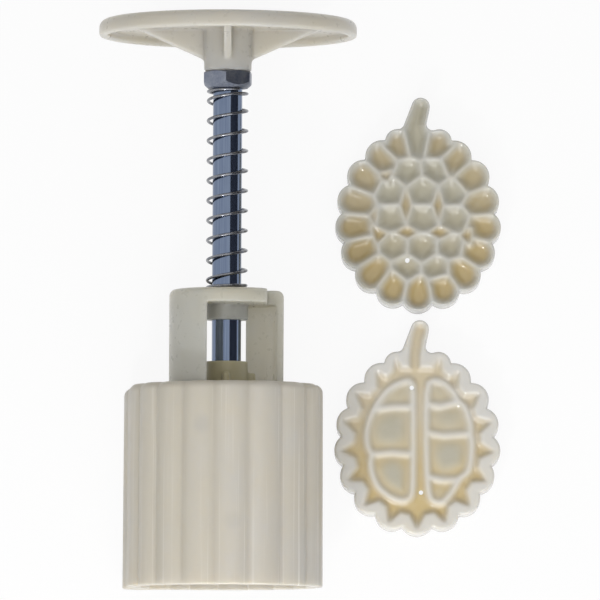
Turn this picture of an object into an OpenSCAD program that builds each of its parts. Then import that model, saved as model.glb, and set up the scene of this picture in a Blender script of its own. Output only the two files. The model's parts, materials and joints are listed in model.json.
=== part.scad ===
// Hand press for mooncakes: a fluted barrel with a guide tower, a sprung plunger
// with a palm handle, and two loose face stamps cut to the same fruit outline.
// Millimetres. The set lies on a flat surface at z = 0, with +z up. The press lies
// on its side with its handle towards +y, and the stamps lie beside it at +x.
// In the press's own frame z runs along its axis from the mouth of the barrel to
// the handle, and -y is the side that faces up when the press lies down.
// The origin is the middle of the set's footprint.

/* [Fruit outline] */
// Half of the outline's width across the lobes
fruit_half_w = 28.6; // [26:0.1:31]
// Reach of the outline from its centre to the bottom lobe
fruit_low = 31.2; // [29:0.1:34]
// Reach of the outline from its centre towards the stem
fruit_high = 32.3; // [30:0.1:35]
// Radius of a lobe
lobe_r = 5.85; // [5.4:0.05:6.4]
// Radius of the two shoulder lobes beside the stem
shoulder_r = 4.3; // [3.8:0.1:4.8]
// How far the shoulder lobes stand proud of the egg curve
shoulder_rise = 0.9; // [0:0.1:1.5]
// Reach of the stem's tip from the centre of the outline
stem_reach = 43; // [40:0.5:46]
// Width of the stem at its foot
stem_foot_w = 7.6; // [6:0.1:9]
// Width of the stem half way along
stem_w = 7; // [5:0.1:8]
// Width of the stem at its tip
stem_tip_w = 6.3; // [4:0.1:8]
// How far the middle of the stem's foot lies inside the outline's reach
stem_sink = 2.3; // [1:0.1:4]
// How far the stem leans sideways from its foot to its tip
stem_lean = 1.8; // [0:0.1:3]

/* [Barrel] */
// Length of the barrel from its mouth to the top of its deck
barrel_h = 69; // [60:0.5:80]
// Wall between the cavity and the flutes
barrel_wall = 2.9; // [2:0.1:4]
// Thickness of the deck that closes the barrel's top
deck_t = 3; // [2:0.1:5]
// Rounding of the flutes' top edge
flute_edge_r = 2; // [1:0.1:3]
// Clearance between a stamp and the cavity
stamp_gap = 0.25; // [0.1:0.05:0.5]

/* [Guide tower] */
// Outer radius of the guide tower
tower_r = 19.7; // [18:0.1:22]
// Height of the guide tower above the deck
tower_h = 32.4; // [28:0.1:40]
// Thickness of the tower's curved walls
tower_wall = 2.6; // [2:0.1:4]
// Thickness of the tower's roof
roof_t = 5; // [3:0.1:6]
// Rounding of the roof's outer edge
roof_edge_r = 2.4; // [1:0.1:3]
// Half of the window's width, from the axis to a wall's edge
window_half = 6.5; // [6:0.1:9]
// Distance of a wall's side end from the middle plane
wall_end = 2; // [0:0.1:4]
// Distance of the roof's notches from the middle plane
notch_x = 13.9; // [12:0.1:16]
// Radius of the guide boss under the roof
boss_r = 7.4; // [6.5:0.1:9]
// Length of the guide boss below the roof
boss_drop = 5.4; // [3:0.1:8]

/* [Rod and nut] */
// Diameter of the steel rod
rod_d = 10; // [8:0.1:11]
// Chamfer at the rod's two ends
rod_chamfer = 0.8; // [0.4:0.1:1.5]
// Radial running clearance of the rod in its guide
guide_fit = 0.08; // [0.03:0.01:0.1]
// Radial clearance of the rod in the pieces fixed to it
seat_fit = 0.02; // [0.01:0.01:0.05]
// Width of the lock nut across its flats
nut_af = 15.7; // [15:0.1:18]
// Height of the lock nut
nut_h = 5.8; // [4:0.1:8]
// Height of the chamfer on the lock nut's corners
nut_chamfer = 1.1; // [0.5:0.1:1.6]
// Turn of the lock nut about the rod
nut_turn = 26; // [0:1:59]

/* [Spring] */
// Length left between the roof and the lock nut when the plunger is pressed home
spring_pressed = 16.9; // [15:0.1:24]
// How far a stamp's face then stands out of the barrel's mouth
stamp_out = 0.3; // [0:0.1:3]
// Diameter of the spring's wire
wire_d = 1; // [0.8:0.05:1.2]
// Outer diameter of the spring
spring_d = 14.3; // [13.8:0.1:16]
// Number of open curls
open_curls = 9.5; // [7:0.5:10]
// Rise of the closed curl at each end
closed_rise = 1.5; // [1.4:0.05:2]
// Angle at which the wire starts on the roof
spring_start = 118; // [0:1:359]

/* [Handle] */
// Diameter of the palm disc
handle_d = 88; // [80:0.5:96]
// Height of the disc's rim
rim_h = 5.8; // [5:0.1:8]
// Width of the rim's lip
rim_lip = 3; // [2:0.1:5]
// Thickness of the disc inside its rim
disc_t = 3; // [2:0.1:4.5]
// Rounding of the rim's palm edge
palm_edge_r = 2.7; // [1:0.1:2.9]
// Rounding of the rim's lower edge
rim_edge_r = 0.8; // [0.3:0.1:1]
// Length of the hub from the lock nut to the palm face
hub_h = 17.5; // [15:0.1:22]
// Radius of the hub at the lock nut
hub_foot_r = 8.1; // [7.5:0.1:9]
// Radius of the hub at the disc
hub_head_r = 8.4; // [8:0.1:10]
// Reach of a gusset from the axis, along the disc
gusset_reach = 31.6; // [24:0.1:36]
// Length of bare hub between the lock nut and a gusset
gusset_start = 3.9; // [2:0.1:6]
// Thickness of a gusset
gusset_t = 2.6; // [1.6:0.1:4]
// Thickness of the disc left over the end of the rod
rod_cover = 5; // [3:0.1:8]

/* [Plunger] */
// Thickness of the plunger's plate
plate_t = 4; // [3:0.1:6]
// Clearance between the plunger's plate and the cavity
plate_gap = 0.5; // [0.3:0.05:1]
// Play between the plunger's plate and the deck when the spring is at rest
rest_gap = 0.3; // [0.2:0.05:0.6]
// Radius of the plunger's hub
hub_r = 7.35; // [6.5:0.05:8.5]
// Height of the plunger's hub above the deck at rest
hub_rise = 7.9; // [5:0.1:10]
// Reach of the hub's keys from the axis
key_reach = 10; // [9:0.1:12]
// Thickness of a key
key_t = 2.2; // [1.5:0.1:3]
// Height of the keys above the deck at rest
key_rise = 4; // [2:0.1:6]
// Clearance round the hub and keys in the deck
deck_gap = 0.4; // [0.3:0.05:0.8]
// Radius of the spigot that carries a stamp
spigot_r = 8; // [7:0.1:9]
// Length of the spigot
spigot_h = 3.5; // [2.5:0.1:3.8]
// Radial clearance of a stamp on the spigot
spigot_fit = 0.03; // [0.01:0.01:0.05]
// Thickness of the floor left under the end of the rod
rod_floor = 2; // [1:0.1:3]

/* [Plunger screw] */
// Diameter of the screw's shank
screw_d = 5; // [4:0.1:6]
// Length of the screw's shank
screw_len = 16; // [12:1:24]
// Diameter of the screw's head
screw_head_d = 9; // [8:0.1:10]
// Height of the screw's head
screw_head_h = 2.6; // [2:0.1:3]
// Chamfer of the head and of the shank's end
screw_chamfer = 0.5; // [0.2:0.1:0.8]
// Clearance round the head in the spigot
head_room = 0.3; // [0.2:0.1:0.6]
// Width of the cross recess in the head
recess_w = 1; // [0.8:0.1:1.5]

/* [Stamps] */
// Thickness of a stamp
stamp_t = 10; // [9:0.1:14]
// Depth of the socket in a stamp's back
socket_depth = 4; // [3.9:0.1:5]
// Distance from the press's axis to the stamps' middle
stamp_x = 65.6; // [60:0.1:80]
// Place of the skin stamp along the press, from the mouth
skin_stamp_y = 129; // [125:0.1:140]
// Place of the section stamp along the press, from the mouth
section_stamp_y = 51.7; // [45:0.1:55]
// Radius of the vent holes through the stamps
vent_r = 0.75; // [0.5:0.05:1]

/* [Skin pattern] */
// Depth of a spine cell
cell_depth = 3.3; // [2:0.1:4]
// Radius of a spine cell at the stamp's face
cell_r = 6.1; // [5:0.1:6.5]
// Distance between neighbouring cells in a row
cell_pitch = 11.2; // [10:0.1:12]
// Rim left outside the cells in the lobes
cell_rim = 1.4; // [0.8:0.1:2]
// How far a lobe's cell sits inwards of the lobe's centre
lobe_cell_shift = 1.2; // [0.5:0.1:2]
// Depth of the stem's groove
groove_depth = 2; // [1:0.1:3]
// Rim left beside the stem's groove
groove_rim = 1.6; // [1:0.1:2]

/* [Section pattern] */
// Depth of the star-shaped floor round the pods
star_depth = 3.8; // [2:0.1:4]
// Depth of the pods' floors
pod_depth = 2.6; // [1.5:0.1:3.5]
// Depth of the pods' raised rims
pod_rim_depth = 0.8; // [0.3:0.1:1.2]
// Half width of the oval floor
oval_half_w = 20.6; // [18:0.1:22]
// Half height of the oval floor
oval_half_h = 23.6; // [21:0.1:25]
// Width of the floor band between the oval's edge and the pods
pod_margin = 2.1; // [1.5:0.1:3]
// Width of a pod's raised rim
pod_rim_w = 1.3; // [0.8:0.1:2]
// Width of the gap between the two pods
pod_gap = 2.4; // [1.5:0.1:4]
// Rim left outside the points of the star
star_rim = 3.2; // [2:0.1:4]
// Width of a point of the star where it leaves the oval
star_point_w = 7.2; // [5:0.1:8]

/* [Hidden] */
$fn = 64;
// Pairs of lobes beside the bottom lobe, and the mean turn from lobe to lobe
lobe_pairs = 7;
lobe_step = 21.3;
// How much the lobes bunch towards the egg's ends, in degrees
bunching = 1.9;
shoulder_angle = 165.5;
// Overlap of pieces that are one solid, and overrun of a cut past its faces
eps = 0.01;
over = 1;

rod_r = rod_d / 2;
handle_r = handle_d / 2;
plate_top = barrel_h - deck_t - rest_gap;
plate_z = plate_top - plate_t;
spigot_z = plate_z - spigot_h;
// The stroke brings the face of a stamp on the spigot out of the mouth
stroke = plate_z - stamp_t + stamp_out;
roof_z = barrel_h + tower_h;
nut_z = roof_z + stroke + spring_pressed;
handle_z = nut_z + nut_h;
palm_z = handle_z + hub_h;
rim_z = palm_z - rim_h;
rod_z = plate_z + rod_floor;
rod_top = palm_z - rod_cover;
flute_grow = stamp_gap + barrel_wall;

// Egg curve: reach from the centre at an angle measured from the bottom lobe
function egg_end(a) = cos(a) > 0 ? fruit_low : fruit_high;
function egg_reach(a) = fruit_half_w + (egg_end(a) - fruit_half_w) * pow(cos(a), 2);
function lobe_angle(i) = i * lobe_step - bunching * sin(2 * i * lobe_step);
function at_angle(a, r) = [r * sin(a), -r * cos(a)];
function lobe(a, r, rise) = [at_angle(a, egg_reach(a) + rise - r), r];

// Each lobe is [centre, radius], in order round the outline
body_lobes = [for (i = [-lobe_pairs:lobe_pairs]) lobe(lobe_angle(i), lobe_r, 0)];
lobes = concat(
    [lobe(-shoulder_angle, shoulder_r, shoulder_rise)],
    body_lobes,
    [lobe(shoulder_angle, shoulder_r, shoulder_rise)]
);

// The stem is a chain of three rounds, each [centre, radius]
stem_foot_y = fruit_high - stem_sink;
stem_tip_y = stem_reach - stem_tip_w / 2;
stem_foot_x = -0.6 * stem_lean;
stem = [
    [[stem_foot_x, stem_foot_y], stem_foot_w / 2],
    [[stem_foot_x + 0.4 * stem_lean, (fruit_high + stem_tip_y) / 2], stem_w / 2],
    [[stem_foot_x + stem_lean, stem_tip_y], stem_tip_w / 2]
];

// Sides of a bar between two rounds, a hair inside their common tangents
tangent_inset = 0.02;
function polar(c, r, a) = c + (r - tangent_inset) * [cos(a), sin(a)];
function bar_points(p, q, grow) =
    let (way = q[0] - p[0])
    let (heading = atan2(way[1], way[0]))
    let (spread = acos((p[1] - q[1]) / norm(way)))
    [
        polar(p[0], p[1] + grow, heading + spread),
        polar(q[0], q[1] + grow, heading + spread),
        polar(q[0], q[1] + grow, heading - spread),
        polar(p[0], p[1] + grow, heading - spread)
    ];

// How far a round reaches towards +y (down) once the barrel is rolled
function down_y(p, roll) = p[1] * cos(roll) - p[0] * sin(roll);
function round_down(c, roll, grow) = down_y(c[0], roll) + c[1] + grow;
function lobes_down(roll) = max([for (c = lobes) round_down(c, roll, flute_grow)]);
function stem_down(roll) = round_down(stem[2], roll, flute_grow);
// The roll at which the barrel rests on its stem channel and on a flute at once
function resting_roll(low, high, steps) =
    let (mid = (low + high) / 2)
    steps == 0 ? mid
    : stem_down(mid) > lobes_down(mid) ? resting_roll(mid, high, steps - 1)
    : resting_roll(low, mid, steps - 1);
barrel_roll = resting_roll(20, 70, 24);

// The press leans on its barrel's mouth and its handle's rim
support_r = lobes_down(barrel_roll);
press_tilt = atan((handle_r - support_r) / (rim_z + rim_edge_r));
press_rise = support_r * cos(press_tilt);
top_reach = max([for (c = lobes) c[1] + flute_grow - down_y(c[0], barrel_roll)]);
set_y_low = -top_reach * sin(press_tilt);
set_y_high = palm_z * cos(press_tilt) + (handle_r - palm_edge_r) * sin(press_tilt);
set_middle = [(stamp_x + fruit_half_w - handle_r) / 2, (set_y_low + set_y_high) / 2, 0];

// ---- Placing ----

// Puts a piece of the upright press where it lies in the set
module lay_press() {
    translate([0, 0, press_rise] - set_middle)
        rotate([-90 + press_tilt, 0, 0])
            children();
}

// Turns a stamp's outline, seen from its face, to face out of the barrel's mouth
module in_barrel() {
    rotate(barrel_roll)
        mirror([1, 0, 0])
            children();
}

// Lays a stamp beside the press with its pattern up
module lay_stamp(y) {
    translate([stamp_x, y, 0] - set_middle)
        children();
}

// ---- Fruit outline ----

module bar(p, q, grow) {
    polygon(bar_points(p, q, grow));
}

module stem_outline(grow) {
    for (k = [0:1])
        bar(stem[k], stem[k + 1], grow);
    for (s = stem)
        translate(s[0])
            circle(s[1] + grow);
}

module fruit_core() {
    polygon([for (c = lobes) c[0]]);
}

// The whole fruit outline as a prism, standing out or drawn in by grow
module fruit_prism(h, grow = 0) {
    linear_extrude(h) {
        fruit_core();
        for (c = lobes)
            translate(c[0])
                circle(c[1] + grow);
    }
    linear_extrude(h)
        stem_outline(grow);
}

// ---- Barrel ----

// A post with a rounded top edge
module post(r, h, edge) {
    rotate_extrude() {
        square([r - edge, h]);
        square([r, h - edge]);
        translate([r - edge, h - edge])
            intersection() {
                circle(edge);
                square(edge);
            }
    }
}

module fluted_body() {
    linear_extrude(barrel_h)
        fruit_core();
    for (c = concat(lobes, stem))
        translate(c[0])
            post(c[1] + flute_grow, barrel_h, flute_edge_r);
    linear_extrude(barrel_h - flute_edge_r)
        for (k = [0:1])
            bar(stem[k], stem[k + 1], flute_grow);
}

// Hub and keys, as an outline that the deck clears by grow
module hub_outline(grow) {
    circle(hub_r + grow);
    for (turn = [0, 90])
        rotate(turn)
            square([2 * (key_reach + grow), key_t + 2 * grow], center = true);
}

module barrel() {
    color("cornsilk")
        lay_press()
            difference() {
                in_barrel()
                    fluted_body();
                translate([0, 0, -over])
                    in_barrel()
                        fruit_prism(barrel_h - deck_t + over, stamp_gap);
                translate([0, 0, barrel_h - deck_t - over])
                    linear_extrude(deck_t + 2 * over)
                        hub_outline(deck_gap);
            }
}

// ---- Guide tower ----

// Half of the plan that carries one curved wall, in the front left quarter
module wall_quarter() {
    translate([-tower_r, -tower_r])
        square([tower_r - window_half, tower_r - wall_end]);
}

module wall_plan() {
    intersection() {
        difference() {
            circle(tower_r);
            circle(tower_r - tower_wall);
        }
        union() {
            wall_quarter();
            rotate(180)
                wall_quarter();
        }
    }
}

// The corner of the roof that has no wall under it, at the front right
module roof_notch() {
    translate([notch_x, -tower_r, -over])
        cube([tower_r, tower_r + wall_end, roof_t + 2 * over]);
}

module roof() {
    difference() {
        post(tower_r, roof_t, roof_edge_r);
        roof_notch();
        rotate(180)
            roof_notch();
    }
}

module guide_tower() {
    color("ivory")
        lay_press()
            translate([0, 0, barrel_h])
                difference() {
                    union() {
                        linear_extrude(tower_h - roof_t)
                            wall_plan();
                        translate([0, 0, tower_h - roof_t])
                            roof();
                        translate([0, 0, tower_h - roof_t - boss_drop])
                            cylinder(r = boss_r, h = boss_drop);
                    }
                    translate([0, 0, tower_h - roof_t - boss_drop - over])
                        cylinder(r = rod_r + guide_fit, h = roof_t + boss_drop + 2 * over);
                }
}

// ---- Handle ----

// Section of the disc with its rim, from the axis outwards
module disc_section() {
    translate([0, rim_h - disc_t])
        square([handle_r - palm_edge_r, disc_t]);
    translate([handle_r - rim_lip, rim_edge_r])
        square([rim_lip, rim_h - palm_edge_r - rim_edge_r]);
    translate([handle_r - rim_lip + rim_edge_r, 0])
        square([rim_lip - 2 * rim_edge_r, rim_h - disc_t]);
    for (side = [rim_lip - rim_edge_r, rim_edge_r])
        translate([handle_r - side, rim_edge_r])
            circle(rim_edge_r);
    translate([handle_r - palm_edge_r, rim_h - palm_edge_r])
        intersection() {
            circle(palm_edge_r);
            square(palm_edge_r);
        }
}

module gusset() {
    top = hub_h - disc_t + eps;
    root = (rod_r + hub_foot_r) / 2;
    rotate([90, 0, 0])
        linear_extrude(gusset_t, center = true)
            polygon([
                [root, gusset_start],
                [hub_foot_r, gusset_start],
                [gusset_reach, top - eps],
                [gusset_reach, top],
                [root, top]
            ]);
}

module handle() {
    color("cornsilk")
        lay_press()
            translate([0, 0, handle_z])
                difference() {
                    union() {
                        translate([0, 0, hub_h - rim_h])
                            rotate_extrude()
                                disc_section();
                        cylinder(r1 = hub_foot_r, r2 = hub_head_r, h = hub_h - disc_t + eps);
                        for (turn = [0:90:270])
                            rotate(turn)
                                gusset();
                    }
                    translate([0, 0, -over])
                        cylinder(r = rod_r + seat_fit, h = rod_top - handle_z + over);
                }
}

// ---- Rod, nut and screw ----

// Turned bar with chamfered ends
module turned_bar(r, h, chamfer) {
    rotate_extrude()
        polygon([
            [0, 0],
            [r - chamfer, 0],
            [r, chamfer],
            [r, h - chamfer],
            [r - chamfer, h],
            [0, h]
        ]);
}

module rod() {
    color("lightsteelblue")
        lay_press()
            difference() {
                translate([0, 0, rod_z])
                    turned_bar(rod_r, rod_top - rod_z, rod_chamfer);
                translate([0, 0, rod_z - over])
                    cylinder(r = screw_d / 2 + seat_fit, h = screw_len + over);
            }
}

module lock_nut() {
    nut_r = nut_af / sqrt(3);
    color("silver")
        lay_press()
            translate([0, 0, nut_z])
                difference() {
                    intersection() {
                        rotate(nut_turn)
                            cylinder(r = nut_r, h = nut_h, $fn = 6);
                        turned_bar(nut_r, nut_h, nut_chamfer);
                    }
                    translate([0, 0, -over])
                        cylinder(r = rod_r + seat_fit, h = nut_h + 2 * over);
                }
}

module plunger_screw() {
    head_z = spigot_z + spigot_h - screw_head_h;
    color("silver")
        lay_press()
            difference() {
                union() {
                    translate([0, 0, head_z])
                        turned_bar(screw_head_d / 2, screw_head_h, screw_chamfer);
                    translate([0, 0, plate_z - eps])
                        turned_bar(screw_d / 2, screw_len, screw_chamfer);
                }
                for (turn = [0, 90])
                    translate([0, 0, head_z])
                        rotate(turn)
                            cube([screw_head_d / 2, recess_w, screw_head_h], center = true);
            }
}

// ---- Plunger ----

module plunger() {
    color("cornsilk")
        lay_press()
            difference() {
                union() {
                    translate([0, 0, plate_z])
                        in_barrel()
                            fruit_prism(plate_t, stamp_gap - plate_gap);
                    translate([0, 0, plate_top - eps])
                        cylinder(r = hub_r, h = barrel_h + hub_rise - plate_top + eps);
                    translate([0, 0, plate_top - eps])
                        linear_extrude(barrel_h + key_rise - plate_top + eps)
                            hub_outline(0);
                    translate([0, 0, spigot_z])
                        cylinder(r = spigot_r, h = spigot_h + eps);
                }
                translate([0, 0, rod_z])
                    cylinder(r = rod_r + seat_fit, h = barrel_h);
                translate([0, 0, spigot_z - over])
                    cylinder(r = screw_d / 2 + seat_fit, h = plate_t + spigot_h + over);
                translate([0, 0, spigot_z - over])
                    cylinder(r = screw_head_d / 2 + head_room, h = spigot_h + over);
            }
}

// ---- Spring ----

spring_r = (spring_d - wire_d) / 2;
seat_air = 0.05;
wire_sides = 6;
rings_per_curl = 8;
total_curls = open_curls + 2;
coil_low = roof_z + wire_d / 2 + seat_air;
coil_high = nut_z - wire_d / 2 - seat_air;
open_pitch = (coil_high - coil_low - 2 * closed_rise) / open_curls;

// Height of the wire's middle after n curls
function coil_z(n) =
    coil_low + closed_rise * min(n, 1)
    + open_pitch * max(0, min(n - 1, open_curls))
    + closed_rise * max(0, n - 1 - open_curls);
function coil_angle(n) = spring_start + 360 * n;
function coil_point(n) = [
    spring_r * cos(coil_angle(n)),
    spring_r * sin(coil_angle(n)),
    coil_z(n)
];
function flat_way(n) = [-sin(coil_angle(n)), cos(coil_angle(n)), 0];
ring_count = total_curls * rings_per_curl;
coil_middle = [for (k = [0:ring_count]) coil_point(k / rings_per_curl)];
// The wire's ends run straight for one diameter
wire_path = concat(
    [coil_middle[0] - wire_d * flat_way(0)],
    coil_middle,
    [coil_middle[ring_count] + wire_d * flat_way(total_curls)]
);
last_ring = len(wire_path) - 1;
function heading_at(k) =
    k == 0 ? wire_path[1] - wire_path[0]
    : k == last_ring ? wire_path[k] - wire_path[k - 1]
    : wire_path[k + 1] - wire_path[k - 1];
function unit(v) = v / norm(v);
// One ring of the tube, square to the wire
function wire_ring(k) =
    let (way = unit(heading_at(k)))
    let (side = unit(cross([0, 0, 1], way)))
    let (up = cross(way, side))
    [for (s = [0:wire_sides - 1])
        wire_path[k] + wire_d / 2
            * (cos(360 * s / wire_sides) * side + sin(360 * s / wire_sides) * up)];
wire_points = [for (k = [0:last_ring]) each wire_ring(k)];
function corner(k, s) = k * wire_sides + s % wire_sides;
wire_sides_faces = [
    for (k = [0:last_ring - 1])
        for (s = [0:wire_sides - 1])
            each [
                [corner(k, s), corner(k, s + 1), corner(k + 1, s)],
                [corner(k, s + 1), corner(k + 1, s + 1), corner(k + 1, s)]
            ]
];
wire_end_faces = [
    for (s = [1:wire_sides - 2])
        each [
            [corner(0, 0), corner(0, s + 1), corner(0, s)],
            [corner(last_ring, 0), corner(last_ring, s), corner(last_ring, s + 1)]
        ]
];

// Least gap of the wire to itself, over points at least half a curl apart
coil_gaps = [
    for (k = [0:last_ring - 5])
        for (m = [k + 5:min(last_ring, k + 12)])
            norm(wire_path[m] - wire_path[k]) - wire_d
];
echo(spring_least_gap = min(coil_gaps));
echo(barrel_roll = barrel_roll, press_tilt = press_tilt, press_rise = press_rise);
echo(set_middle = set_middle, stroke = stroke, rod_z = rod_z, nut_z = nut_z);

module spring() {
    color("silver")
        lay_press()
            polyhedron(wire_points, concat(wire_sides_faces, wire_end_faces), 4);
}

// ---- Stamps ----

// Rows of spine cells up the middle of the fruit, each [height, number of cells]
cell_rows = [[18.2, 2], [10, 3], [1.3, 3], [-7.9, 3], [-15.4, 2]];
cell_middle_x = 0.7;
cell_curve_r = (cell_r * cell_r + cell_depth * cell_depth) / (2 * cell_depth);
lobe_cell_r = lobe_r - cell_rim + lobe_cell_shift;
vent_skin = [-3.5, -13];
vents_section = [[-1.9, 20.3], [1.3, -15.9]];

// Ball that cuts a dished cell of the given radius at the stamp's face
module cell_cutter(place, r) {
    ball_r = cell_curve_r * r / cell_r;
    sink = cell_depth * r / cell_r;
    translate([place[0], place[1], stamp_t + ball_r - sink])
        sphere(ball_r);
}

module stamp_blank(vents) {
    difference() {
        fruit_prism(stamp_t);
        translate([0, 0, -over])
            cylinder(r = spigot_r + spigot_fit, h = socket_depth + over);
        for (v = vents)
            translate([v[0], v[1], -over])
                cylinder(r = vent_r, h = stamp_t + 2 * over);
    }
}

// Cuts an outline down from a stamp's face to the given depth
module cut_down(depth) {
    translate([0, 0, stamp_t - depth])
        linear_extrude(depth + over)
            children();
}

module stem_groove() {
    cut_down(groove_depth)
        stem_outline(-groove_rim);
}

module skin_stamp() {
    color("oldlace")
        lay_stamp(skin_stamp_y)
            difference() {
                stamp_blank([vent_skin]);
                for (c = lobes)
                    cell_cutter(
                        c[0] * (1 - lobe_cell_shift / norm(c[0])),
                        lobe_cell_r * c[1] / lobe_r
                    );
                for (row = cell_rows)
                    for (k = [0:row[1] - 1])
                        cell_cutter(
                            [cell_middle_x + cell_pitch * (k - (row[1] - 1) / 2), row[0]],
                            cell_r
                        );
                stem_groove();
            }
}

// Oval with computed points, grown or shrunk by grow
module oval(half_w, half_h, grow) {
    polygon([for (a = [0:9:351]) [(half_w + grow) * cos(a), (half_h + grow) * sin(a)]]);
}

// Share of a lobe's distance from the middle at which a point of the star starts
star_foot = 0.72;

module star_floor() {
    oval(oval_half_w, oval_half_h, 0);
    for (c = lobes) {
        out = c[0] / norm(c[0]);
        side = [-out[1], out[0]];
        tip = c[0] + (c[1] - star_rim) * out;
        foot = star_foot * c[0];
        half_foot = star_point_w / 2 * side;
        polygon([tip, foot + half_foot, foot - half_foot]);
    }
}

// One half of the oval, to the left (-1) or right (+1) of the gap
module pod(side, grow) {
    intersection() {
        oval(oval_half_w - pod_margin, oval_half_h - pod_margin, grow);
        translate([side > 0 ? pod_gap / 2 - grow : -oval_half_w - pod_gap / 2 + grow, -oval_half_h])
            square([oval_half_w, 2 * oval_half_h]);
    }
}

// Heights of the ridges across each pod
left_ridges = [13.7, -2.8];
right_ridges = [14.6, 4.3, -11.8];

module pod_floor(side, ridges) {
    difference() {
        pod(side, -pod_rim_w);
        for (y = ridges)
            translate([-oval_half_w, y - pod_rim_w / 2])
                square([2 * oval_half_w, pod_rim_w]);
    }
}

module section_stamp() {
    color("oldlace")
        lay_stamp(section_stamp_y)
            difference() {
                stamp_blank(vents_section);
                cut_down(star_depth)
                    difference() {
                        star_floor();
                        pod(-1, 0);
                        pod(1, 0);
                    }
                cut_down(pod_rim_depth)
                    for (side = [-1, 1])
                        pod(side, 0);
                cut_down(pod_depth) {
                    pod_floor(-1, left_ridges);
                    pod_floor(1, right_ridges);
                }
                stem_groove();
            }
}

barrel();
guide_tower();
handle();
lock_nut();
rod();
plunger();
plunger_screw();
spring();
skin_stamp();
section_stamp();
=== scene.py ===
"""Mooncake press: a fluted hand press lying beside its two loose face stamps.

Every length is in metres. In the press's own frame z runs along its axis from the
mouth of the barrel to the handle, and -y is the side that faces up as it lies.
"""

import json
from math import acos, asin, atan2, ceil, cos, pi, radians, sin, sqrt, tan

import bmesh
import bpy
import numpy as np
from bpy.props import FloatProperty, FloatVectorProperty, IntProperty, PointerProperty
from mathutils import Matrix, Vector
from mathutils.geometry import delaunay_2d_cdt


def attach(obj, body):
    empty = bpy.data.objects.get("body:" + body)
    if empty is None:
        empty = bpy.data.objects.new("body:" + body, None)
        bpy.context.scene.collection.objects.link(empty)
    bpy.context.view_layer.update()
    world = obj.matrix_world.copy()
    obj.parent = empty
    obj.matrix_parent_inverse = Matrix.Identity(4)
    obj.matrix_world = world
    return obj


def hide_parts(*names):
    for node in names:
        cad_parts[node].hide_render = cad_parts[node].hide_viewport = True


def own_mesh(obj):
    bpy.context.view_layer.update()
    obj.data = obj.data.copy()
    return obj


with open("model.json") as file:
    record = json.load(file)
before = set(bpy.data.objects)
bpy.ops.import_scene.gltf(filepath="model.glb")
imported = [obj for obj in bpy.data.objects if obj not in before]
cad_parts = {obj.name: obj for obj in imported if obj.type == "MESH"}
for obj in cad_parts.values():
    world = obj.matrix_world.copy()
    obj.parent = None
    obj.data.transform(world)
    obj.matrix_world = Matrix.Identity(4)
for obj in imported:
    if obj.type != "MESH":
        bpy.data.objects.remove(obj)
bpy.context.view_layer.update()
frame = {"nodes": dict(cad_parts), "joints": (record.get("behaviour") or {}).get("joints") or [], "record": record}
RECORD = frame["record"]
MM = 0.001

bl_info = {
    "name": "Mooncake Press",
    "version": (1, 0, 0),
    "blender": (4, 5, 0),
    "location": "View3D > Sidebar > Press",
    "description": "Builds a sprung mooncake press with two relief stamps",
    "category": "Add Mesh",
}


# ---- Places that the frame gives ----


def mount(name):
    """Place of one of the record's mounts."""
    return Vector(next(m["pos_m"] for m in RECORD["mounts"] if m["name"] == name))


STROKE = next(j for j in frame["joints"] if j["name"] == "plunger_stroke")
AXIS = -Vector(STROKE["axis"]).normalized()
RIM_PLACE = mount("mouth_rim")
SPIGOT_PLACE = mount("stamp_spigot")


def press_frame():
    """Matrix from the press's own frame to the row's frame."""
    sideways = Vector((1, 0, 0))
    down = AXIS.cross(sideways)
    mouth = SPIGOT_PLACE - AXIS * (SPIGOT_PLACE - RIM_PLACE).dot(AXIS)
    turn = Matrix((sideways, down, AXIS)).transposed().to_4x4()
    return Matrix.Translation(mouth) @ turn


PRESS = press_frame()
UPRIGHT = PRESS.inverted()


def stations(node):
    """Lowest and highest place of a CAD node along the press's axis."""
    spots = [(UPRIGHT @ v.co).z for v in frame["nodes"][node].data.vertices]
    return min(spots), max(spots)


# ---- Sizes and colours that a user can change ----


def length(name, description, millimetres):
    size = millimetres * MM
    return FloatProperty(
        name=name, description=description, default=size, subtype="DISTANCE", unit="LENGTH"
    )


def turn(name, description, angle):
    size = radians(angle)
    return FloatProperty(
        name=name, description=description, default=size, subtype="ANGLE", unit="ROTATION"
    )


def number(name, description, value):
    return FloatProperty(name=name, description=description, default=value)


def share(name, description, value):
    return FloatProperty(name=name, description=description, default=value, min=0, max=1)


def linear(levels):
    """A colour read off a screen, in 256 levels, as linear light."""
    parts = [level / 255 for level in levels]
    return [p / 12.92 if p <= 0.04045 else ((p + 0.055) / 1.055) ** 2.4 for p in parts]


def colour(name, description, levels):
    return FloatVectorProperty(
        name=name,
        description=description,
        default=linear(levels),
        subtype="COLOR",
        size=3,
        min=0,
        max=1,
    )


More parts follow.
